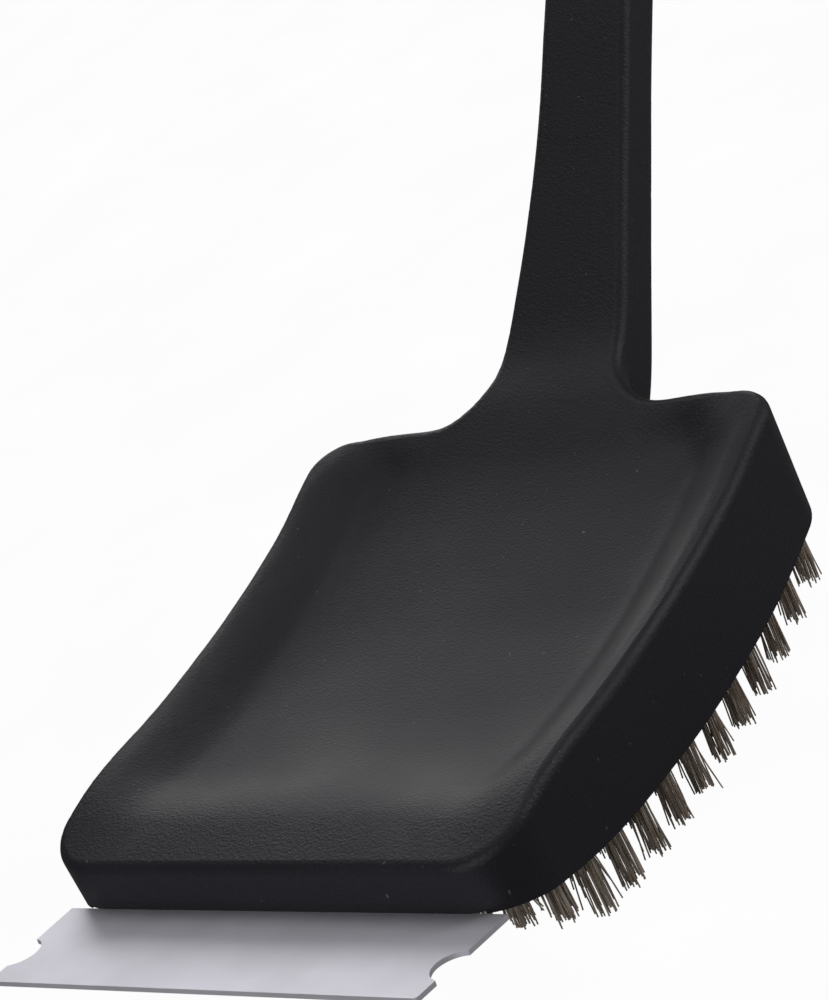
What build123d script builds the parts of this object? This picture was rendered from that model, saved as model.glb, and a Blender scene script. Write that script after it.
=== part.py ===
from build123d import *
import math
import os

# Grill cleaning brush: a dished plastic head on a rising hollow handle, a
# rocker-shaped block of wire tufts under the head and a notched steel scraper
# along its front edge. All sizes are in millimetres.
#
# While modelling, X runs across the head, Y from the front wall (Y = 0) back
# to the handle, and Z up from the crease above the front wall (Z = 0). The
# bristles point down. At the end everything is moved so that the origin is
# the centre of the foot of the whole brush's bounding box.

# ---------------------------------------------------------------- head
HEAD_LENGTH = 133.0
FRONT_WIDTH = 114.0
BACK_WIDTH = 123.0
BACK_BOW = 6.0                # how far the back edge bows towards the handle
FRONT_CORNER_RADIUS = 13.0
BACK_CORNER_RADIUS = 10.0
SHELL_WALL = 3.0
RIM_ROUND = 2.2               # round-over of the upper edge of head, neck and handle
RIM_LAND = 3.0                # from the side wall to the start of the dish
DISH_SLOPE_WIDTH = 17.0       # width of the slope from the rim down to the floor

# Height of the side rims and of the middle of the dish, as (share of the
# head's length from the front, height).
RIM_HEIGHTS = [(-0.2, -1.2), (0.0, 0.0), (0.1, 3.0), (0.2, 4.4), (0.36, 3.9),
               (0.52, 4.8), (0.66, 6.7), (0.8, 9.8), (0.92, 14.0), (1.03, 16.2), (1.5, 17.5)]
FLOOR_HEIGHTS = [(-0.2, -1.2), (0.0, 0.0), (0.115, 1.4), (0.26, -2.2), (0.4, -3.2),
                 (0.55, -2.4), (0.72, 1.0), (0.86, 5.4), (0.95, 10.0)]

# ---------------------------------------------------------------- handle
HANDLE_REACH = 252.0          # behind the head, measured along Y
HANDLE_RISE = 150.0           # from the head's back edge up to the handle's end
NECK_HEIGHT = 17.0            # top of the neck where it leaves the head
HANDLE_DEPTH = 22.0           # top face to underside, measured straight down
PARTING_DEPTH = 7.0           # top face to parting line, measured straight down
HANDLE_WALL = 3.4             # measured straight down on the rising handle
NECK_FILLET = 15.0            # between the head's back edge and the neck
HANDLE_END_RADIUS = 15.0
HANDLE_UNDER_ROUND = 5.0

# The handle's top line and half width, as (share of HANDLE_REACH, ...).
HANDLE_LINE = [(0.0, 0.0), (0.05, 0.037), (0.09, 0.087), (0.14, 0.16), (0.22, 0.285), (0.31, 0.44),
               (0.42, 0.62), (0.56, 0.8), (0.72, 0.92), (0.86, 0.98), (1.0, 1.0)]
HANDLE_HALF_WIDTHS = [(0.0, 17.5), (0.08, 15.8), (0.15, 13.9), (0.25, 12.2), (0.36, 11.6),
                      (0.5, 13.5), (0.66, 15.5), (0.82, 15.6), (1.0, 15.0)]

# ---------------------------------------------------------------- hang hole
HANG_HOLE_RADIUS = 4.5
HANG_SLEEVE_WALL = 2.5
BACK_SEAM = 0.1              # between the head's back wall and the under-shell
HANG_HOLE_FROM_END = 15.0
SLEEVE_CLEARANCE = 0.1

# ---------------------------------------------------------------- bristle block
# The block's underside and the side walls' lower edges follow one rocker
# curve, as (share of the head's length, height).
ROCKER_LINE = [(-0.05, -9.6), (0.0, -10.6), (0.12, -15.2), (0.28, -19.1), (0.52, -20.8),
               (0.75, -18.9), (0.93, -13.8), (1.0, -11.0), (1.1, -6.5)]
BLOCK_THICKNESS = 8.0
BLOCK_CLEARANCE = 0.3         # between the block and the shell's walls
LIP_HEIGHT = 2.1              # the block's front lip, seen below the front wall
LIP_END_GAP = 8.0             # from the head's side to the end of the lip

# ---------------------------------------------------------------- tufts
TUFT_ROWS = 13
TUFT_COLUMNS = 11
FIRST_ROW = 7.0               # from the front wall
LAST_ROW_GAP = 6.0            # from the back of the head
TUFT_SIDE_GAP = 6.5           # outermost tuft to the head's side
TUFT_HOLE_RADIUS = 2.2
TUFT_TIP_RADIUS = 2.7
TUFT_HOLE_DEPTH = 6.0
TUFT_REACH = 15.6             # free length below the block
SCRAPER_ROWS = 2              # front rows that make room for the scraper's tang
SIDE_TUFTS = 2                # tufts kept at each end of those rows
TRIM_START = -13.75           # the front rows are trimmed on a slope, from
TRIM_SLOPE = 0.75             # this height at the front wall
ANCHOR_THICKNESS = 0.5
ANCHOR_HEIGHT = 1.8
ANCHOR_WIDTH = 4.9            # bites into the block on both sides of the hole

# ---------------------------------------------------------------- scraper
SHEET = 1.0
BLADE_REACH = 26.9            # along the blade, from the bend under the lip
BLADE_ANGLE = 10.0            # the blade is bent up this far
BLADE_ROOT_WIDTH = 108.0
BLADE_EDGE_WIDTH = 104.0
BLADE_CORNER = 1.0
BEND_OVERLAP = 0.2            # the blade starts this far inside the bend
NOTCH_RADIUS = 5.0
NOTCH_OPENING = 9.7
NOTCH_FROM_EDGE = 10.3        # front edge to the middle of the notch
TANG_WIDTH = 76.0
TANG_DEPTH = 17.0
TANG_CORNER = 2.0
POCKET_CLEARANCE = 0.3

# ---------------------------------------------------------------- screws
SCREW_RADIUS = 1.5
SCREW_CLEARANCE = 0.05
SCREW_HEAD_RADIUS = 2.9
SCREW_HEAD_HEIGHT = 2.0
DRIVE_RADIUS = 1.1
DRIVE_DEPTH = 1.2
PILOT_SPARE = 0.5             # pilot hole past the screw's point
BOSS_RADIUS = 4.2
BLOCK_SCREW_LENGTH = 10.0
BLOCK_SCREW_RECESS = 3.4      # from the block's underside to the head's seat
BLOCK_SCREW_ROWS = (3, 6, 9)  # in the gap behind these rows
BLOCK_SCREW_COLUMN = 3.5      # columns from the middle
SCRAPER_SCREW_LENGTH = 4.6
SCRAPER_SCREW_SPACING = 28.0
SCRAPER_SCREW_FROM_FRONT = 10.0
HANDLE_SCREW_PLACES = (0.2, 0.48, 0.78)   # shares of HANDLE_REACH
HANDLE_SCREW_LENGTH = 8.0
HANDLE_SCREW_SEAT = 5.0       # plastic left between the head's seat and the parting line

FAR = 200.0                   # larger than the head in every direction
SURFACE_STEPS_X = 36
SURFACE_STEPS_Y = 60
EDGE_MATCH = 0.25             # how closely an edge follows a height to count as along it


# ---------------------------------------------------------------- shapes in formulas

def through(points, at):
    """Height at `at` on a smooth curve through the points, with no overshoot."""
    xs = [p[0] for p in points]
    ys = [p[1] for p in points]
    steps = [(ys[i + 1] - ys[i]) / (xs[i + 1] - xs[i]) for i in range(len(xs) - 1)]
    slopes = [steps[0]]
    for before, after in zip(steps, steps[1:]):
        same_way = before * after > 0
        slopes.append(2 * before * after / (before + after) if same_way else 0.0)
    slopes.append(steps[-1])
    if at <= xs[0]:
        return ys[0] + slopes[0] * (at - xs[0])
    if at >= xs[-1]:
        return ys[-1] + slopes[-1] * (at - xs[-1])
    i = max(k for k in range(len(xs) - 1) if xs[k] <= at)
    span = xs[i + 1] - xs[i]
    t = (at - xs[i]) / span
    return ((1 + 2 * t) * (1 - t) ** 2 * ys[i] + t * (1 - t) ** 2 * span * slopes[i]
            + t * t * (3 - 2 * t) * ys[i + 1] + t * t * (t - 1) * span * slopes[i + 1])


def ease(low, high, at):
    """Smooth step from 0 at low to 1 at high."""
    t = min(1.0, max(0.0, (at - low) / (high - low)))
    return t * t * (3 - 2 * t)


def half_width(y):
    """Half the head's width at y."""
    return (FRONT_WIDTH + (BACK_WIDTH - FRONT_WIDTH) * y / HEAD_LENGTH) / 2


def handle_top(y):
    """Height of the handle's top face at y."""
    share = (y - HEAD_LENGTH - BACK_BOW) / HANDLE_REACH
    return NECK_HEIGHT + HANDLE_RISE * through(HANDLE_LINE, share)


def floor_height(y):
    """Height of the middle of the dish, and of the neck and handle behind it."""
    points = [(share * HEAD_LENGTH, z) for share, z in FLOOR_HEIGHTS]
    back = HEAD_LENGTH + BACK_BOW
    points += [(back + share * HANDLE_REACH, NECK_HEIGHT + HANDLE_RISE * rise)
               for share, rise in HANDLE_LINE]
    return through(points, y)


def top_height(x, y):
    """The whole top surface: rims, front ramp, dish, neck and handle."""
    rim = through(RIM_HEIGHTS, y / HEAD_LENGTH)
    floor = floor_height(y)
    behind = ease(HEAD_LENGTH - 12, HEAD_LENGTH + 14, y)
    outer = half_width(min(y, HEAD_LENGTH)) - RIM_LAND
    inner = outer - DISH_SLOPE_WIDTH
    neck_outer = handle_half_width(HEAD_LENGTH + BACK_BOW) + NECK_FILLET
    neck_inner = handle_half_width(HEAD_LENGTH + BACK_BOW)
    outer += (neck_outer - outer) * behind
    inner += (neck_inner - inner) * behind
    on_handle = ease(HEAD_LENGTH + BACK_BOW, HEAD_LENGTH + 2 * BACK_BOW + NECK_FILLET, y)
    side = (1 - ease(inner, outer, abs(x))) * (1 - on_handle) + on_handle
    return rim + (floor - rim) * side


def underside_height(x, y):
    """The handle's underside, level across."""
    return handle_top(y) - HANDLE_DEPTH


def rocker(y):
    """Height of the block's underside at y."""
    return through(ROCKER_LINE, y / HEAD_LENGTH)


def handle_half_width(y):
    """Half the handle's width at y."""
    share = (y - HEAD_LENGTH - BACK_BOW) / HANDLE_REACH
    return through(HANDLE_HALF_WIDTHS, share)


# ---------------------------------------------------------------- building regions

HANDLE_START = HEAD_LENGTH + BACK_BOW
HANDLE_END = HANDLE_START + HANDLE_REACH


def side_region(line):
    """Everything below a line of (y, z) points, to both sides."""
    edge = Spline(*[(0, y, z) for y, z in line])
    first, last = line[0], line[-1]
    frame = Polyline((0, last[0], last[1]), (0, last[0], -FAR), (0, first[0], -FAR),
                     (0, first[0], first[1]))
    return extrude(make_face([edge] + list(frame.edges())), FAR, dir=(1, 0, 0), both=True)


def space_above_top():
    """The space above the top surface: rims, dish, neck and handle in one smooth sheet."""
    front, back = -20.0, HANDLE_END + 10
    wide = BACK_WIDTH / 2 + 8
    rows = []
    for i in range(SURFACE_STEPS_X + 1):
        x = wide * (2 * i / SURFACE_STEPS_X - 1)
        ys = [front + (back - front) * k / SURFACE_STEPS_Y for k in range(SURFACE_STEPS_Y + 1)]
        rows.append([Vector(x, y, top_height(x, y)) for y in ys])
    surface = Face.make_surface_from_array_of_points(rows)
    return extrude(surface, 2 * FAR, dir=(0, 0, 1))


def below_rocker(rise=0.0):
    """The space under the rocker curve, raised by rise."""
    shares = [-0.15 + 1.35 * k / 12 for k in range(13)]
    line = [(share * HEAD_LENGTH, through(ROCKER_LINE, share) + rise) for share in shares]
    return side_region(line)


def handle_line(drop, start):
    """Points along the handle's top line, lowered by drop."""
    count = 26
    ys = [start + (HANDLE_END + 8 - start) * k / count for k in range(count + 1)]
    return [(y, handle_top(y) - drop) for y in ys]


def head_plan(inset):
    """Outline of the head seen from above, inset from the outside."""
    front = inset
    corner_y = HEAD_LENGTH - inset
    front_x = half_width(front) - inset
    back_x = half_width(corner_y) - inset
    sides = Polyline((back_x, corner_y), (front_x, front), (-front_x, front), (-back_x, corner_y))
    bow = ThreePointArc((-back_x, corner_y), (0, corner_y + BACK_BOW), (back_x, corner_y))
    outline = make_face(list(sides.edges()) + [bow])
    fronts = outline.vertices().sort_by(Axis.Y)[:2]
    outline = fillet(fronts, FRONT_CORNER_RADIUS - inset)
    backs = outline.vertices().sort_by(Axis.Y)[-2:]
    return fillet(backs, BACK_CORNER_RADIUS - inset)


def handle_plan(inset, start):
    """Outline of the handle seen from above, from start to its rounded end."""
    end = HANDLE_END - HANDLE_END_RADIUS
    count = 14
    ys = [start + (end - start) * k / count for k in range(count + 1)]
    right = [(handle_half_width(y) - inset, y) for y in ys]
    left = [(-x, y) for x, y in right]
    tip = ThreePointArc((right[-1][0], end), (0, HANDLE_END - inset), (left[-1][0], end))
    foot = Line((left[0][0], start), (right[0][0], start))
    return make_face([Spline(*right), tip, Spline(*left), foot])


def whole_plan(inset):
    """Head, neck fillets and handle in one outline."""
    plan = head_plan(inset) + handle_plan(inset, HEAD_LENGTH - 10)
    limit = handle_half_width(HANDLE_START)
    joins = [v for v in plan.vertices()
             if abs(abs(v.X) - (limit - inset)) < 2 and abs(v.Y - HANDLE_START) < BACK_BOW + inset]
    return fillet(joins, NECK_FILLET + inset)


def edges_along(solid, height):
    """The solid's edges that follow a height given as a function of x and y."""
    def follows(edge):
        points = [edge.position_at(share) for share in (0.1, 0.3, 0.5, 0.7, 0.9)]
        return all(abs(p.Z - height(p.X, p.Y)) < EDGE_MATCH for p in points)
    return [edge for edge in solid.edges() if follows(edge)]


def prism(plan):
    """A plan outline as a tall solid."""
    return Pos(0, 0, -FAR / 2) * extrude(plan, 2 * FAR)


# ---------------------------------------------------------------- places

def tuft_rows():
    """Y of each tuft row, front to back."""
    last = HEAD_LENGTH - LAST_ROW_GAP
    return [FIRST_ROW + (last - FIRST_ROW) * k / (TUFT_ROWS - 1) for k in range(TUFT_ROWS)]


def column_x(column, y):
    """X of a tuft column (0 is the middle one) at y; the columns fan out with the sides."""
    return (half_width(y) - TUFT_SIDE_GAP) * column / ((TUFT_COLUMNS - 1) / 2)


def row_places(row):
    """X of each tuft in a row. The front rows leave the scraper's tang free."""
    y = tuft_rows()[row]
    reach = (TUFT_COLUMNS - 1) // 2
    columns = range(-reach, reach + 1)
    if row < SCRAPER_ROWS:
        columns = [c for c in columns if abs(c) > reach - SIDE_TUFTS]
    return [column_x(c, y) for c in columns]


def tuft_tip(y):
    """Height of the bristle tips in the row at y."""
    return max(rocker(y) - TUFT_REACH, TRIM_START - TRIM_SLOPE * y)


def block_screw_places():
    rows = tuft_rows()
    ys = [(rows[k] + rows[k + 1]) / 2 for k in BLOCK_SCREW_ROWS]
    return [(side * column_x(BLOCK_SCREW_COLUMN, y), y) for y in ys for side in (-1, 1)]


def scraper_screw_places():
    return [(k * SCRAPER_SCREW_SPACING, SCRAPER_SCREW_FROM_FRONT) for k in (-1, 0, 1)]


def handle_screw_places():
    return [(0, HANDLE_START + share * HANDLE_REACH) for share in HANDLE_SCREW_PLACES]


def peg(x, y, low, high, radius):
    """An upright round peg from height low to height high."""
    return Pos(x, y, (low + high) / 2) * Cylinder(radius, high - low)


# ---------------------------------------------------------------- pieces

LIP_UNDERSIDE = rocker(0.0)
SHEET_TOP = LIP_UNDERSIDE
ABOVE_TOP = space_above_top()


def screw(x, y, seat, length):
    """Pan-head self-tapping screw, head down, its head's top bearing on seat."""
    head = peg(x, y, seat - SCREW_HEAD_HEIGHT, seat, SCREW_HEAD_RADIUS)
    rim = head.edges().sort_by(Axis.Z)[0]
    head = fillet(rim, SCREW_HEAD_HEIGHT / 3)
    tip = seat + length
    shank = peg(x, y, seat, tip - SCREW_RADIUS, SCREW_RADIUS)
    point = Pos(x, y, tip - SCREW_RADIUS / 2) * Cone(SCREW_RADIUS, SCREW_RADIUS / 4, SCREW_RADIUS)
    drive = peg(x, y, seat - SCREW_HEAD_HEIGHT, seat - SCREW_HEAD_HEIGHT + DRIVE_DEPTH, DRIVE_RADIUS)
    return head + shank + point - drive


def lip_region(clearance):
    """Where the block's front lip passes under the front wall."""
    half = FRONT_WIDTH / 2 - LIP_END_GAP + clearance
    top = LIP_UNDERSIDE + LIP_HEIGHT + clearance
    depth = SHELL_WALL + 2 * BLOCK_CLEARANCE + 2
    low = top - 2 * LIP_HEIGHT - 10
    return Pos(0, depth / 2 - 1, (top + low) / 2) * Box(2 * half, depth + 2, top - low)


def under_parting():
    """The space below the handle's parting line."""
    return side_region(handle_line(PARTING_DEPTH, HEAD_LENGTH - 20))


def under_handle():
    """The space below the handle's underside."""
    return side_region(handle_line(HANDLE_DEPTH, HEAD_LENGTH - 20))


def make_top_shell():
    """Dished head, neck and the upper half of the handle, hollow from below."""
    outside = prism(whole_plan(0.0)) - ABOVE_TOP
    outside -= below_rocker() & prism(head_plan(-2.0))
    outside -= under_parting() - prism(head_plan(0.0))
    outside = outside.fillet(RIM_ROUND, edges_along(outside, top_height))
    shell = outside - (prism(whole_plan(SHELL_WALL)) - Pos(0, 0, -HANDLE_WALL) * ABOVE_TOP)
    shell -= lip_region(0.0)
    shell += bosses()
    shell -= peg(*hang_place(), -FAR, FAR, HANG_HOLE_RADIUS)
    for x, y in block_screw_places():
        shell -= pilot(x, y, block_seat(y), BLOCK_SCREW_LENGTH)
    for x, y in handle_screw_places():
        shell -= pilot(x, y, handle_seat(y), HANDLE_SCREW_LENGTH)
    return shell


def pilot(x, y, seat, length):
    """Hole for a screw's shank, from its seat to just past its point."""
    return peg(x, y, seat, seat + length + PILOT_SPARE, SCREW_RADIUS + SCREW_CLEARANCE)


def head_recess(x, y, seat):
    """Open hole for a screw's head, from its seat down and out of the piece."""
    return peg(x, y, seat - FAR, seat, SCREW_HEAD_RADIUS + 4 * SCREW_CLEARANCE)


def block_seat(y):
    """Height of the seat of a block screw's head."""
    return rocker(y) + BLOCK_SCREW_RECESS


def handle_seat(y):
    """Height of the seat of a handle screw's head."""
    return handle_top(y) - PARTING_DEPTH - HANDLE_SCREW_SEAT


def hang_place():
    """X and Y of the hang hole."""
    return 0, HANDLE_END - HANG_HOLE_FROM_END


def bosses():
    """Screw bosses under the dish and in the handle, and the sleeve of the hang hole."""
    head = [peg(x, y, -FAR, FAR, BOSS_RADIUS) for x, y in block_screw_places()]
    handle = [peg(x, y, -FAR, FAR, BOSS_RADIUS) for x, y in handle_screw_places()]
    sleeve = peg(*hang_place(), -FAR, FAR, HANG_HOLE_RADIUS + HANG_SLEEVE_WALL)
    posts = [p - below_rocker(BLOCK_THICKNESS) for p in head]
    posts += [p - under_parting() for p in handle]
    posts.append(sleeve - under_handle())
    return Part() + [p - Pos(0, 0, -HANDLE_WALL / 2) * ABOVE_TOP for p in posts]


def make_handle_under_shell():
    """Lower half of the handle, a trough that closes the upper half."""
    plan = prism(handle_plan(0.0, HANDLE_START - NECK_FILLET))
    outside = (plan & under_parting()) - under_handle()
    outside = outside.fillet(HANDLE_UNDER_ROUND, edges_along(outside, underside_height))
    outside -= prism(head_plan(-BACK_SEAM))
    room = prism(handle_plan(SHELL_WALL, HANDLE_START + SHELL_WALL))
    shell = outside - (room - side_region(handle_line(HANDLE_DEPTH - HANDLE_WALL, HEAD_LENGTH - 20)))
    for x, y in handle_screw_places():
        post = peg(x, y, -FAR, FAR, BOSS_RADIUS) & under_parting()
        shell += post - side_region(handle_line(HANDLE_DEPTH - 1, HEAD_LENGTH - 20))
        shell -= head_recess(x, y, handle_seat(y))
        shell -= pilot(x, y, handle_seat(y), HANDLE_SCREW_LENGTH)
    sleeve_radius = HANG_HOLE_RADIUS + HANG_SLEEVE_WALL + SLEEVE_CLEARANCE
    return shell - peg(*hang_place(), -FAR, FAR, sleeve_radius)


def tuft(x, y):
    """One tuft: a round bundle of wires that spreads a little towards its tips."""
    top = rocker(y) + TUFT_HOLE_DEPTH - ANCHOR_HEIGHT
    neck = rocker(y) - TUFT_TIP_RADIUS
    root = peg(x, y, neck, top, TUFT_HOLE_RADIUS)
    height = neck - tuft_tip(y)
    spread = Cone(TUFT_TIP_RADIUS, TUFT_HOLE_RADIUS, height)
    return root + Pos(x, y, tuft_tip(y) + height / 2) * spread


def anchor(x, y):
    """The flat staple that a tuft's wires are folded over, pressed into the block."""
    middle = rocker(y) + TUFT_HOLE_DEPTH - ANCHOR_HEIGHT / 2
    return Pos(x, y, middle) * Box(ANCHOR_WIDTH, ANCHOR_THICKNESS, ANCHOR_HEIGHT)


def make_tuft_row(row):
    """One row of tufts across the block, as separate bundles."""
    y = tuft_rows()[row]
    return Compound(children=[tuft(x, y) for x in row_places(row)])


def make_anchors():
    """All the anchors."""
    rows = enumerate(tuft_rows())
    return Compound(children=[anchor(x, y) for row, y in rows for x in row_places(row)])


def tang_outline(clearance):
    """The scraper's tang seen from above, with rounded inner corners."""
    width = TANG_WIDTH + 2 * clearance
    depth = TANG_DEPTH + clearance
    outline = Pos(0, depth / 2) * Rectangle(width, depth)
    inner = outline.vertices().sort_by(Axis.Y)[-2:]
    return fillet(inner, TANG_CORNER)


def make_bristle_block():
    """Rocker-shaped plastic block with tuft holes, anchor slots and screw recesses."""
    body = prism(head_plan(SHELL_WALL + BLOCK_CLEARANCE)) & below_rocker(BLOCK_THICKNESS)
    body -= below_rocker()
    body += make_lip()
    pocket = Pos(0, 0, SHEET_TOP - FAR) * extrude(tang_outline(POCKET_CLEARANCE), FAR)
    body -= pocket
    holes = []
    for row, y in enumerate(tuft_rows()):
        for x in row_places(row):
            top = rocker(y) + TUFT_HOLE_DEPTH
            holes.append(peg(x, y, top - ANCHOR_HEIGHT - FAR, top - ANCHOR_HEIGHT, TUFT_HOLE_RADIUS))
            holes.append(anchor(x, y))
    body -= holes
    for x, y in block_screw_places():
        body -= head_recess(x, y, block_seat(y))
        body -= pilot(x, y, block_seat(y), BLOCK_SCREW_LENGTH)
    for x, y in scraper_screw_places():
        body -= pilot(x, y, SHEET_TOP, SCRAPER_SCREW_LENGTH)
    return body


def make_lip():
    """The lip that carries the block forward under the front wall."""
    half = FRONT_WIDTH / 2 - LIP_END_GAP
    depth = SHELL_WALL + BLOCK_CLEARANCE + 1
    lip = Pos(0, depth / 2, LIP_UNDERSIDE + LIP_HEIGHT / 2) * Box(2 * half, depth, LIP_HEIGHT)
    return lip & prism(head_plan(0.0))


def make_scraper():
    """Flat tang under the block's lip, and a blade bent up a little with notched sides."""
    tang = Pos(0, 0, SHEET_TOP - SHEET) * extrude(tang_outline(0.0), SHEET)
    root, edge = BLADE_ROOT_WIDTH / 2, BLADE_EDGE_WIDTH / 2
    corners = [(-root, BEND_OVERLAP), (root, BEND_OVERLAP), (edge, -BLADE_REACH), (-edge, -BLADE_REACH)]
    blade = make_face(Polyline(*corners, close=True))
    blade = fillet(blade.vertices().sort_by(Axis.Y)[:2], BLADE_CORNER)
    notch_y = -BLADE_REACH + NOTCH_FROM_EDGE
    side_x = edge + (root - edge) * NOTCH_FROM_EDGE / BLADE_REACH
    offset = math.sqrt(NOTCH_RADIUS ** 2 - (NOTCH_OPENING / 2) ** 2)
    for side in (-1, 1):
        blade -= Pos(side * (side_x + offset), notch_y) * Circle(NOTCH_RADIUS)
    blade = Pos(0, 0, SHEET_TOP) * Rot(-BLADE_ANGLE, 0, 0) * extrude(blade, -SHEET)
    plate = tang + blade
    for x, y in scraper_screw_places():
        plate -= peg(x, y, SHEET_TOP - 2 * SHEET, SHEET_TOP + SHEET, SCREW_RADIUS + SCREW_CLEARANCE)
    return plate


def screws(places, seat, length):
    """A group of identical screws as separate solids."""
    return Compound(children=[screw(x, y, seat(y), length) for x, y in places])


def sheet_underside(y):
    """Seat of the scraper screws' heads, the same everywhere on the tang."""
    return SHEET_TOP - SHEET


# ---------------------------------------------------------------- output

pieces = {
    "top_shell": make_top_shell(),
    "handle_under_shell": make_handle_under_shell(),
    "bristle_block": make_bristle_block(),
    "scraper_blade": make_scraper(),
    "tuft_anchors": make_anchors(),
    "block_screws": screws(block_screw_places(), block_seat, BLOCK_SCREW_LENGTH),
    "scraper_screws": screws(scraper_screw_places(), sheet_underside,
                             SHEET + SCRAPER_SCREW_LENGTH),
    "handle_screws": screws(handle_screw_places(), handle_seat, HANDLE_SCREW_LENGTH),
}
for row in range(TUFT_ROWS):
    pieces[f"tuft_row_{row + 1:02d}"] = make_tuft_row(row)

boxes = [piece.bounding_box() for piece in pieces.values()]
front, back = min(b.min.Y for b in boxes), max(b.max.Y for b in boxes)
foot = Vector(0, (front + back) / 2, min(b.min.Z for b in boxes))
os.makedirs("parts", exist_ok=True)
for name, piece in pieces.items():
    placed = Pos(0, -foot.Y, -foot.Z) * piece
    placed.label = name
    export_step(placed, f"parts/{name}.step")
print("origin is", foot, "from the crease above the front wall")
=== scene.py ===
import math
import random

import bmesh
import bpy
from bpy.props import FloatProperty, FloatVectorProperty, IntProperty, PointerProperty
from mathutils import Matrix, Vector


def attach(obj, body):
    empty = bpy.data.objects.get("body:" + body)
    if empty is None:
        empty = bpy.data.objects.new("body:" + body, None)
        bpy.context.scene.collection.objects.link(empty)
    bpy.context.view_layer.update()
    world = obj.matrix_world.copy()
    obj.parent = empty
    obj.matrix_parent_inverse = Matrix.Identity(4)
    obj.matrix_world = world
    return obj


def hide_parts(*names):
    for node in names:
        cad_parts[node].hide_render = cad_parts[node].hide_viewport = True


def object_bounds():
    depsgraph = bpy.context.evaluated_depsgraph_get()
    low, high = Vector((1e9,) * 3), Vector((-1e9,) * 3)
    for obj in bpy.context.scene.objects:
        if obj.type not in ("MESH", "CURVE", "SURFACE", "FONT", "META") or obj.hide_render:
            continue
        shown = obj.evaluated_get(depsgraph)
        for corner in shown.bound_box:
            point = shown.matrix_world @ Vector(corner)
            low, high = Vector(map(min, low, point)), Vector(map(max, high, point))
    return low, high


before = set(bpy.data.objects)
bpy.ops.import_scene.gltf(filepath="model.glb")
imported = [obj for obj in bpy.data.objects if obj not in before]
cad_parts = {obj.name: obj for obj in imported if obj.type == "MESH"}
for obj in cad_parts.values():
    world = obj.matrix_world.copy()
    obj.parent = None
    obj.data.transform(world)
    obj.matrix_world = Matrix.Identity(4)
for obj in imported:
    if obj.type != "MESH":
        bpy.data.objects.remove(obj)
cad_low, cad_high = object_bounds()

bl_info = {
    "name": "Grill Cleaning Brush",
    "version": (1, 0, 0),
    "blender": (4, 5, 0),
    "location": "View3D > Sidebar > Grill Brush",
    "description": "Wire tufts, finishes and a studio for a grill cleaning brush",
    "category": "Object",
}

MM = 0.001
TUFT_NODES = sorted(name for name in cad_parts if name.startswith("tuft_row"))

# Most of a noise texture's values lie between these.
NOISE_LOW, NOISE_HIGH = 0.3, 0.7

# Tufts and their wires.
TUFT_GAP = 2 * MM                 # narrower than the space between two tufts of a row
ROOT_SHARE = 0.72                 # width of the bundle at the block over the CAD tuft's width
WIRE_STEPS, WIRE_SIDES = 4, 4
WIRE_TURN = math.pi * (3 - math.sqrt(5))   # from one wire to the next, which fills a disc evenly
TURN_PLAY = 0.3                   # radians
SPREAD_PLAY = 0.5 * MM
BOW_PLAY = 0.35 * MM
STRAY_SPREAD = (0.8, 2.6)         # mm that a stray wire's tip leans out
STRAY_LIFT = (0.0, 4.0)           # mm that it ends higher
SHARP_ANGLE = math.radians(60)    # wire edges sharper than this stay sharp

# The stage, in metres and watts.
FLOOR_REACH = 6.0
FLOOR_PAPER = 60 * MM             # size of the paper's faint clouds
FLOOR_SEEN_PALE = 0.985           # share of the pale look in what the camera sees
FLOOR_GREY = 0.3                  # what the brush sees
HEAD_MIDDLE = (0.0, -0.12, 0.05)
SOFT_LIGHTS = (                   # name, place, width and height, power
    ("back_left_softbox", (-0.75, 0.95, 0.5), (1.0, 0.7), 3.8),
    ("overhead_softbox", (-0.25, 0.1, 1.1), (0.8, 0.8), 2.2),
    ("right_strip", (0.7, 0.5, 0.55), (0.25, 0.9), 3.0),
    ("front_fill", (0.2, -1.2, 0.5), (0.9, 0.6), 4.2),
)
SENSOR = 36.0                     # mm
NEAR_CLIP = 0.01


# ---------------------------------------------------------------- colours and nodes

def linear(code):
    """Linear RGB from an sRGB hex value such as '#1c1b1f'."""
    shares = [int(code[i:i + 2], 16) / 255 for i in (1, 3, 5)]
    return tuple(s / 12.92 if s <= 0.04045 else ((s + 0.055) / 1.055) ** 2.4 for s in shares)


def colour(code, label, words):
    """A colour setting that a user can change."""
    return FloatVectorProperty(name=label, description=words, subtype="COLOR", size=3,
                               min=0.0, max=1.0, default=linear(code))


def add_node(tree, kind, settings=None, links=None):
    """Adds a node. Settings go to its properties or inputs, and links go to its inputs.

    Inputs are given by name or by number.
    """
    node = tree.nodes.new(kind)
    for name, value in (settings or {}).items():
        if isinstance(name, int) or name in node.inputs:
            node.inputs[name].default_value = value
        else:
            setattr(node, name, value)
    for name, source in (links or {}).items():
        tree.links.new(source, node.inputs[name])
    return node


def new_material(name):
    """An empty node material and its tree."""
    material = bpy.data.materials.new(name)
    material.use_nodes = True
    material.node_tree.nodes.clear()
    return material, material.node_tree


def ramp(tree, source, stops):
    """A colour ramp with (position, linear colour) stops."""
    node = add_node(tree, "ShaderNodeValToRGB", links={"Fac": source})
    elements = node.color_ramp.elements
    while len(elements) < len(stops):
        elements.new(1.0)
    for element, (position, rgb) in zip(elements, stops):
        element.position = position
        element.color = (*rgb, 1.0)
    return node.outputs["Color"]


def shade(rgb, factor):
    """The same colour, lighter or darker."""
    return tuple(min(1.0, channel * factor) for channel in rgb)


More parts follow.
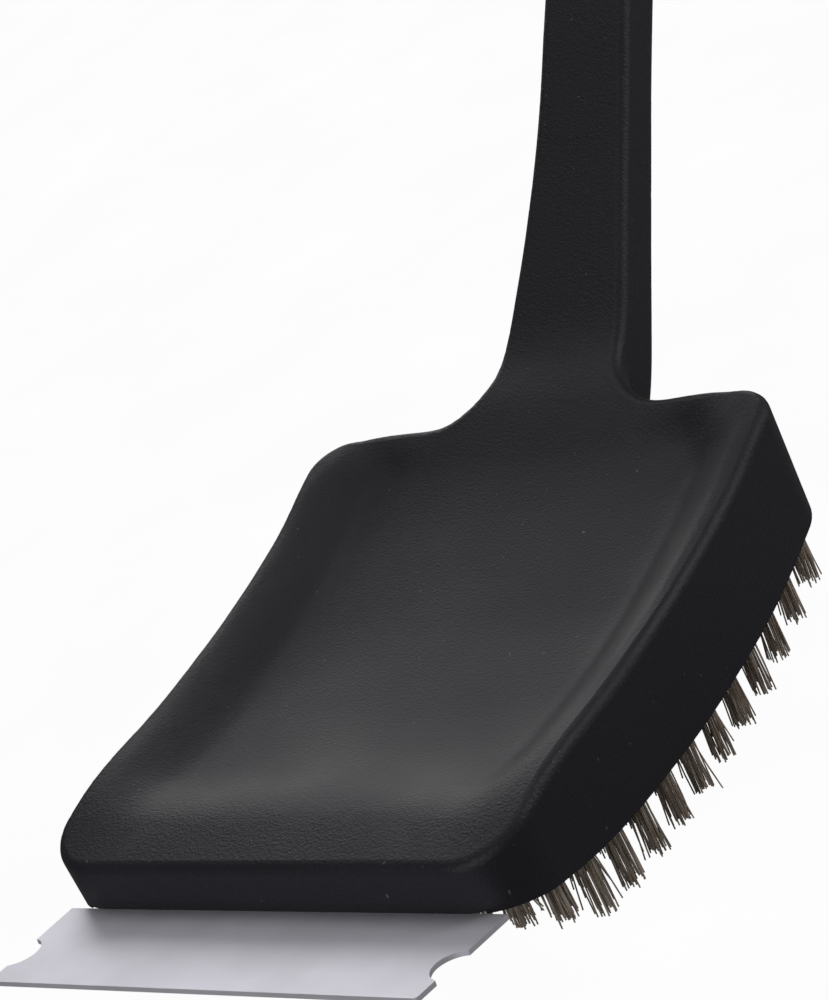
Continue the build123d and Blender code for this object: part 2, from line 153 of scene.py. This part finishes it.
def grain(tree, pitch, detail=2.0, stretch=(1.0, 1.0, 1.0)):
    """Noise in the object's own space whose spots are pitch metres apart."""
    place = add_node(tree, "ShaderNodeTexCoord").outputs["Object"]
    spread = add_node(tree, "ShaderNodeMapping", {"Scale": stretch}, {"Vector": place})
    noise = add_node(tree, "ShaderNodeTexNoise", {"Scale": 1 / pitch, "Detail": detail},
                     {"Vector": spread.outputs["Vector"]})
    return noise.outputs["Fac"]


def finish_tree(tree, shader):
    """Links the shader to the material's output."""
    add_node(tree, "ShaderNodeOutputMaterial", links={"Surface": shader.outputs["BSDF"]})


# ---------------------------------------------------------------- materials

def textured_polypropylene(name, finish, base):
    """Polypropylene moulded in a spark-eroded tool.

    The tool leaves a fine even grain, so the black looks matte with a soft broad sheen, and
    the slow flow of the melt leaves patches that are a little more or less glossy. A few pale
    specks of dust lie on it.
    """
    material, tree = new_material(name)
    fine = grain(tree, finish.grain_pitch)
    flow = grain(tree, finish.flow_patch)
    patchy = ramp(tree, flow, [(NOISE_LOW, shade(base, 0.88)), (NOISE_HIGH, shade(base, 1.12))])
    specks = ramp(tree, grain(tree, finish.dust_pitch, 0.0),
                  [(finish.dust_limit, (0.0, 0.0, 0.0)),
                   (finish.dust_limit + 0.02, (1.0, 1.0, 1.0))])
    tint = add_node(tree, "ShaderNodeMix", {"data_type": "RGBA", 7: (*finish.dust, 1.0)},
                    {0: specks, 6: patchy}).outputs[2]
    low, high = finish.plastic_roughness - 0.04, finish.plastic_roughness + 0.05
    gloss = add_node(tree, "ShaderNodeMapRange", {"From Min": NOISE_LOW, "From Max": NOISE_HIGH,
                                                  "To Min": low, "To Max": high}, {"Value": flow})
    bump = add_node(tree, "ShaderNodeBump", {"Strength": 1.0, "Distance": finish.grain_depth},
                    {"Height": fine})
    shader = add_node(tree, "ShaderNodeBsdfPrincipled",
                      {"IOR": 1.49, "Specular IOR Level": finish.plastic_gloss},
                      {"Base Color": tint, "Roughness": gloss.outputs["Result"],
                       "Normal": bump.outputs["Normal"]})
    finish_tree(tree, shader)
    return material


def rolled_stainless(name, finish):
    """Cold-rolled stainless sheet, tumbled to a matte satin finish.

    The rolls leave very fine lines along the sheet, too fine to see one by one, so they are
    drawn coarser and show only as a soft streak in an even pale grey. Tumbling blurs what the
    sheet mirrors until hardly anything of it can be made out.
    """
    material, tree = new_material(name)
    lines = grain(tree, finish.rolling_pitch, 3.0, (0.05, 1.0, 1.0))
    cloud = grain(tree, finish.sheet_patch)
    tint = ramp(tree, cloud, [(NOISE_LOW, shade(finish.sheet, 0.95)),
                              (NOISE_HIGH, shade(finish.sheet, 1.05))])
    gloss = add_node(tree, "ShaderNodeMapRange", {"To Min": 0.56, "To Max": 0.64}, {"Value": lines})
    bump = add_node(tree, "ShaderNodeBump", {"Strength": 0.4, "Distance": 0.004 * MM},
                    {"Height": lines})
    shader = add_node(tree, "ShaderNodeBsdfPrincipled", {"Metallic": 1.0},
                      {"Base Color": tint, "Roughness": gloss.outputs["Result"],
                       "Normal": bump.outputs["Normal"]})
    finish_tree(tree, shader)
    return material


def drawn_wire(name, finish):
    """Hard-drawn steel wire, oiled and unpolished.

    Drawing leaves each wire a slightly different warm grey, from brown to green-grey, with a
    dull gleam along its length.
    """
    material, tree = new_material(name)
    tone = grain(tree, finish.wire_patch, 2.0, (1.0, 1.0, 0.08))
    tint = ramp(tree, tone, [(NOISE_LOW, shade(finish.wire, 0.6)), (0.5, finish.wire),
                             (NOISE_HIGH, finish.wire_light)])
    gloss = add_node(tree, "ShaderNodeMapRange", {"To Min": 0.38, "To Max": 0.6}, {"Value": tone})
    shader = add_node(tree, "ShaderNodeBsdfPrincipled", {"Metallic": 0.6},
                      {"Base Color": tint, "Roughness": gloss.outputs["Result"]})
    finish_tree(tree, shader)
    return material


def zinc_plate(name, finish):
    """Bright zinc plating on a steel screw.

    The plating is a pale blue-grey metal with small duller clouds where the passivation is
    thicker.
    """
    material, tree = new_material(name)
    cloud = grain(tree, 0.8 * MM)
    tint = ramp(tree, cloud, [(0.35, shade(finish.zinc, 0.8)), (0.65, finish.zinc)])
    gloss = add_node(tree, "ShaderNodeMapRange", {"To Min": 0.25, "To Max": 0.45}, {"Value": cloud})
    shader = add_node(tree, "ShaderNodeBsdfPrincipled", {"Metallic": 1.0},
                      {"Base Color": tint, "Roughness": gloss.outputs["Result"]})
    finish_tree(tree, shader)
    return material


# ---------------------------------------------------------------- settings

class BrushFinish(bpy.types.PropertyGroup):
    """Colours and grain of the brush's materials."""
    plastic: colour("#1d1a22", "Shell plastic", "Moulded plastic of the head and handle")
    block: colour("#18161a", "Block plastic", "Moulded plastic of the bristle block")
    dust: colour("#5c5960", "Dust", "Specks of dust on the plastic")
    sheet: colour("#f1eff7", "Scraper sheet", "Rolled stainless of the scraper")
    wire: colour("#c2b3a4", "Wire", "Main colour of the bristle wire")
    wire_light: colour("#efe6da", "Wire highlight", "Palest wires in the tufts")
    zinc: colour("#b9bdc2", "Zinc", "Plating on the screws and anchors")
    plastic_roughness: FloatProperty(name="Shell roughness", default=0.5, min=0.0, max=1.0,
                                     description="Average roughness of the shells")
    plastic_gloss: FloatProperty(name="Shell gloss", default=0.36, min=0.0, max=1.0,
                                 description="How strongly the shells reflect")
    grain_pitch: FloatProperty(name="Grain pitch", default=0.6 * MM, unit="LENGTH", precision=5,
                               description="Distance between the grain's bumps")
    grain_depth: FloatProperty(name="Grain depth", default=0.15 * MM, unit="LENGTH", precision=5,
                               description="Depth of the moulded grain")
    dust_pitch: FloatProperty(name="Dust pitch", default=0.9 * MM, unit="LENGTH", precision=5,
                              description="Distance between the places where a speck may lie")
    dust_limit: FloatProperty(name="Dust limit", default=0.86, min=0.0, max=0.95,
                              description="Raise it for fewer specks")
    flow_patch: FloatProperty(name="Flow patch", default=35 * MM, unit="LENGTH",
                              description="Size of the glossier and duller patches")
    rolling_pitch: FloatProperty(name="Rolling lines", default=0.4 * MM, unit="LENGTH", precision=5,
                                 description="Distance between the rolling lines as drawn")
    sheet_patch: FloatProperty(name="Sheet patch", default=18 * MM, unit="LENGTH",
                               description="Size of the clouds on the scraper sheet")
    wire_patch: FloatProperty(name="Wire patch", default=0.5 * MM, unit="LENGTH", precision=5,
                              description="How closely the wires' tones change")


class BrushWires(bpy.types.PropertyGroup):
    """The wires in each tuft."""
    count: IntProperty(name="Wires", default=36, min=6, max=60,
                       description="Wires in one tuft")
    thickness: FloatProperty(name="Wire thickness", default=0.32 * MM, unit="LENGTH", precision=5,
                             description="Diameter of one wire")
    splay: FloatProperty(name="Splay", default=1.25, min=1.0, max=2.0,
                         description="Width of a tuft at its tips over its width at the block")
    ragged: FloatProperty(name="Ragged ends", default=2.2 * MM, unit="LENGTH",
                          description="How much shorter the shortest wires are")
    stray: FloatProperty(name="Stray wires", default=0.07, min=0.0, max=0.5, subtype="FACTOR",
                         description="Share of the wires that lean out of their tuft")
    seed: IntProperty(name="Seed", default=7, min=0,
                      description="Changes where the wires lie")


class BrushStudio(bpy.types.PropertyGroup):
    """Camera, lights and surroundings."""
    camera: FloatVectorProperty(name="Camera", size=3, subtype="TRANSLATION", unit="LENGTH",
                                default=(0.3138, -0.4501, 0.2614), description="Camera's place")
    aim: FloatVectorProperty(name="Aim", size=3, subtype="TRANSLATION", unit="LENGTH",
                             default=(-0.0042, -0.0917, 0.0592),
                             description="Point in the middle of the picture")
    roll: FloatProperty(name="Roll", default=math.radians(25.57), subtype="ANGLE",
                        description="How far the camera leans to its right")
    lens: FloatProperty(name="Lens", default=90.0, description="Focal length in mm")
    surround: FloatProperty(name="Surround", default=0.11, min=0.0,
                            description="Brightness of the room as the brush sees it")


# ---------------------------------------------------------------- tufts

def tuft_places(node):
    """Lowest and highest corner of the box round each tuft in a CAD row."""
    points = sorted((v.co.copy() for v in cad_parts[node].data.vertices), key=lambda p: p.x)
    clusters = [[points[0]]]
    for before, after in zip(points, points[1:]):
        if after.x - before.x > TUFT_GAP:
            clusters.append([])
        clusters[-1].append(after)
    places = []
    for cluster in clusters:
        low = Vector(min(p[i] for p in cluster) for i in range(3))
        high = Vector(max(p[i] for p in cluster) for i in range(3))
        places.append((low, high))
    return places


def add_wire(mesh, root, tip, lean, radius):
    """A four-sided wire from root to tip that bows a little sideways."""
    rings = []
    for step in range(WIRE_STEPS + 1):
        share = step / WIRE_STEPS
        centre = root.lerp(tip, share) + lean * (4 * share * (1 - share))
        ring = []
        for side in range(WIRE_SIDES):
            turn = 2 * math.pi * (side + 0.5) / WIRE_SIDES
            way = Vector((math.cos(turn), math.sin(turn), 0))
            ring.append(mesh.verts.new(centre + way * radius))
        rings.append(ring)
    for lower, upper in zip(rings, rings[1:]):
        for side in range(WIRE_SIDES):
            after = (side + 1) % WIRE_SIDES
            mesh.faces.new((lower[side], upper[side], upper[after], lower[after]))
    mesh.faces.new(rings[0])
    mesh.faces.new(tuple(reversed(rings[-1])))


def add_tuft(mesh, low, high, wires, dice):
    """A bundle of wires, gathered at the block and splayed and ragged at the tips."""
    middle = (low + high) / 2
    tip_radius = (high.x - low.x) / 2
    root_radius = tip_radius * ROOT_SHARE
    for k in range(wires.count):
        share = math.sqrt((k + 0.5) / wires.count)
        turn = k * WIRE_TURN + dice.uniform(-TURN_PLAY, TURN_PLAY)
        way = Vector((math.cos(turn), math.sin(turn), 0))
        root = Vector((middle.x, middle.y, high.z)) + way * root_radius * share
        spread = root_radius * wires.splay * share + dice.uniform(-1, 1) * SPREAD_PLAY
        height = low.z + wires.ragged * dice.random() ** 2
        if dice.random() < wires.stray:
            spread += dice.uniform(*STRAY_SPREAD) * MM
            height += dice.uniform(*STRAY_LIFT) * MM
        tip = Vector((middle.x, middle.y, height)) + way * spread
        lean = Vector((dice.uniform(-1, 1), dice.uniform(-1, 1), 0)) * BOW_PLAY
        add_wire(mesh, root, tip, lean, wires.thickness / 2)


def make_wire_row(node, wires):
    """All the wires of one row of tufts, as one mesh."""
    dice = random.Random(f"{node}-{wires.seed}")
    mesh = bmesh.new()
    for low, high in tuft_places(node):
        add_tuft(mesh, low, high, wires, dice)
    data = bpy.data.meshes.new(node.replace("tuft_row", "wire_row"))
    mesh.to_mesh(data)
    mesh.free()
    row = bpy.data.objects.new(data.name, data)
    bpy.context.scene.collection.objects.link(row)
    return row


def coat(piece, material):
    """Gives a piece one material, in every slot that it has."""
    if not piece.data.materials:
        piece.data.materials.append(material)
    for k in range(len(piece.data.materials)):
        piece.data.materials[k] = material


def smooth(piece, angle):
    """Shades a piece smooth, apart from edges sharper than the angle."""
    for face in piece.data.polygons:
        face.use_smooth = True
    piece.data.set_sharp_from_angle(angle=angle)


# ---------------------------------------------------------------- operators

class BRUSH_OT_shells(bpy.types.Operator):
    """Gives the head, neck and handle shells their moulded finish"""
    bl_idname = "grill_brush.shells"
    bl_label = "Head and Handle Shells"

    def execute(self, context):
        finish = context.scene.brush_finish
        material = textured_polypropylene("textured_polypropylene", finish, finish.plastic)
        for name in ("top_shell", "handle_under_shell"):
            coat(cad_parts[name], material)
        return {"FINISHED"}


class BRUSH_OT_block(bpy.types.Operator):
    """Gives the bristle block its moulded finish"""
    bl_idname = "grill_brush.block"
    bl_label = "Bristle Block"

    def execute(self, context):
        finish = context.scene.brush_finish
        material = textured_polypropylene("block_polypropylene", finish, finish.block)
        coat(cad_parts["bristle_block"], material)
        return {"FINISHED"}


class BRUSH_OT_scraper(bpy.types.Operator):
    """Gives the scraper its satin sheet finish"""
    bl_idname = "grill_brush.scraper"
    bl_label = "Scraper"

    def execute(self, context):
        material = rolled_stainless("rolled_stainless", context.scene.brush_finish)
        coat(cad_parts["scraper_blade"], material)
        return {"FINISHED"}


class BRUSH_OT_tufts(bpy.types.Operator):
    """Makes each row of wire tufts in place of its plain CAD solids"""
    bl_idname = "grill_brush.tufts"
    bl_label = "Wire Tufts"

    def execute(self, context):
        material = drawn_wire("drawn_wire", context.scene.brush_finish)
        for node in TUFT_NODES:
            row = make_wire_row(node, context.scene.brush_wires)
            coat(row, material)
            smooth(row, SHARP_ANGLE)
            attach(row, "root")
            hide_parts(node)
        return {"FINISHED"}


class BRUSH_OT_fasteners(bpy.types.Operator):
    """Gives the screws and the tufts' anchors their zinc plating"""
    bl_idname = "grill_brush.fasteners"
    bl_label = "Screws and Anchors"

    def execute(self, context):
        material = zinc_plate("zinc_plate", context.scene.brush_finish)
        for name in ("block_screws", "scraper_screws", "handle_screws", "tuft_anchors"):
            coat(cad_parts[name], material)
        return {"FINISHED"}


# ---------------------------------------------------------------- stage

def add_floor():
    """A wide pale floor at the bristle tips' height.

    The camera sees it pale. What the brush sees of it is dimmer, as when black card lies
    round an object on a white table, which keeps black plastic black.
    """
    material, tree = new_material("pale_floor")
    paper = ramp(tree, grain(tree, FLOOR_PAPER),
                 [(NOISE_LOW, linear("#fdfdfd")), (NOISE_HIGH, linear("#ffffff"))])
    seen = add_node(tree, "ShaderNodeEmission", {"Strength": 1.0}, {"Color": paper})
    lit = add_node(tree, "ShaderNodeBsdfDiffuse",
                   {"Color": (FLOOR_GREY, FLOOR_GREY, FLOOR_GREY, 1.0)})
    path = add_node(tree, "ShaderNodeLightPath")
    share = add_node(tree, "ShaderNodeMath", {"operation": "MULTIPLY", 1: FLOOR_SEEN_PALE},
                     {0: path.outputs["Is Camera Ray"]})
    both = add_node(tree, "ShaderNodeMixShader",
                    links={0: share.outputs[0], 1: lit.outputs[0], 2: seen.outputs[0]})
    add_node(tree, "ShaderNodeOutputMaterial", links={"Surface": both.outputs[0]})
    data = bpy.data.meshes.new("floor")
    corners = [(-1, -1), (1, -1), (1, 1), (-1, 1)]
    points = [(x * FLOOR_REACH, y * FLOOR_REACH, cad_low.z) for x, y in corners]
    data.from_pydata(points, [], [(0, 1, 2, 3)])
    data.materials.append(material)
    floor = bpy.data.objects.new("floor", data)
    bpy.context.scene.collection.objects.link(floor)


def add_soft_light(name, place, size, watts):
    """A white rectangular soft light turned towards the middle of the head."""
    data = bpy.data.lights.new(name, "AREA")
    data.shape = "RECTANGLE"
    data.size, data.size_y = size
    data.energy = watts
    light = bpy.data.objects.new(name, data)
    light.location = place
    light.rotation_mode = "QUATERNION"
    towards = Vector(HEAD_MIDDLE) - Vector(place)
    light.rotation_quaternion = towards.to_track_quat("-Z", "Y")
    bpy.context.scene.collection.objects.link(light)


def add_surroundings(strength):
    """A white surround for the camera and a dim even one for the brush."""
    world = bpy.data.worlds.new("surroundings")
    world.use_nodes = True
    tree = world.node_tree
    tree.nodes.clear()
    white = (*linear("#ffffff"), 1.0)
    seen = add_node(tree, "ShaderNodeBackground", {"Color": white})
    felt = add_node(tree, "ShaderNodeBackground", {"Color": white, "Strength": strength})
    path = add_node(tree, "ShaderNodeLightPath")
    both = add_node(tree, "ShaderNodeMixShader",
                    links={0: path.outputs["Is Camera Ray"],
                           1: felt.outputs[0], 2: seen.outputs[0]})
    add_node(tree, "ShaderNodeOutputWorld", links={"Surface": both.outputs[0]})
    bpy.context.scene.world = world


def add_camera(studio):
    """The camera, rolled so that the handle stands up in the picture."""
    data = bpy.data.cameras.new("camera")
    data.lens = studio.lens
    data.sensor_fit = "VERTICAL"
    data.sensor_width = SENSOR
    data.sensor_height = SENSOR
    data.clip_start = NEAR_CLIP
    camera = bpy.data.objects.new("camera", data)
    look = Vector(studio.aim) - Vector(studio.camera)
    level = look.to_track_quat("-Z", "Y").to_matrix()
    turned = level @ Matrix.Rotation(-studio.roll, 3, "Z")
    camera.matrix_world = Matrix.Translation(Vector(studio.camera)) @ turned.to_4x4()
    bpy.context.scene.collection.objects.link(camera)
    bpy.context.scene.camera = camera


class BRUSH_OT_studio(bpy.types.Operator):
    """Sets up the pale floor, soft lights, surroundings and camera"""
    bl_idname = "grill_brush.studio"
    bl_label = "Studio"

    def execute(self, context):
        studio = context.scene.brush_studio
        add_floor()
        for name, place, size, watts in SOFT_LIGHTS:
            add_soft_light(name, place, size, watts)
        add_surroundings(studio.surround)
        add_camera(studio)
        context.scene.view_settings.view_transform = "Standard"
        return {"FINISHED"}


# ---------------------------------------------------------------- panel and registration

class BRUSH_PT_panel(bpy.types.Panel):
    """Lists the brush's operators and settings"""
    bl_idname = "BRUSH_PT_panel"
    bl_label = "Grill Cleaning Brush"
    bl_space_type = "VIEW_3D"
    bl_region_type = "UI"
    bl_category = "Grill Brush"

    def draw(self, context):
        for step in STEPS:
            self.layout.operator(step.bl_idname)
        for settings in (context.scene.brush_finish, context.scene.brush_wires,
                         context.scene.brush_studio):
            box = self.layout.box()
            for name in settings.__annotations__:
                box.prop(settings, name)


STEPS = (BRUSH_OT_shells, BRUSH_OT_block, BRUSH_OT_scraper, BRUSH_OT_tufts, BRUSH_OT_fasteners,
         BRUSH_OT_studio)
CLASSES = (BrushFinish, BrushWires, BrushStudio, *STEPS, BRUSH_PT_panel)


def register():
    """Adds the classes and the scene's settings."""
    for cls in CLASSES:
        bpy.utils.register_class(cls)
    bpy.types.Scene.brush_finish = PointerProperty(type=BrushFinish)
    bpy.types.Scene.brush_wires = PointerProperty(type=BrushWires)
    bpy.types.Scene.brush_studio = PointerProperty(type=BrushStudio)


def unregister():
    """Removes the scene's settings and the classes."""
    del bpy.types.Scene.brush_studio
    del bpy.types.Scene.brush_wires
    del bpy.types.Scene.brush_finish
    for cls in reversed(CLASSES):
        bpy.utils.unregister_class(cls)


def main():
    """Builds the brush and its studio."""
    register()
    bpy.ops.grill_brush.shells()
    bpy.ops.grill_brush.block()
    bpy.ops.grill_brush.scraper()
    bpy.ops.grill_brush.tufts()
    bpy.ops.grill_brush.fasteners()
    bpy.ops.grill_brush.studio()


if __name__ == "__main__":
    main()
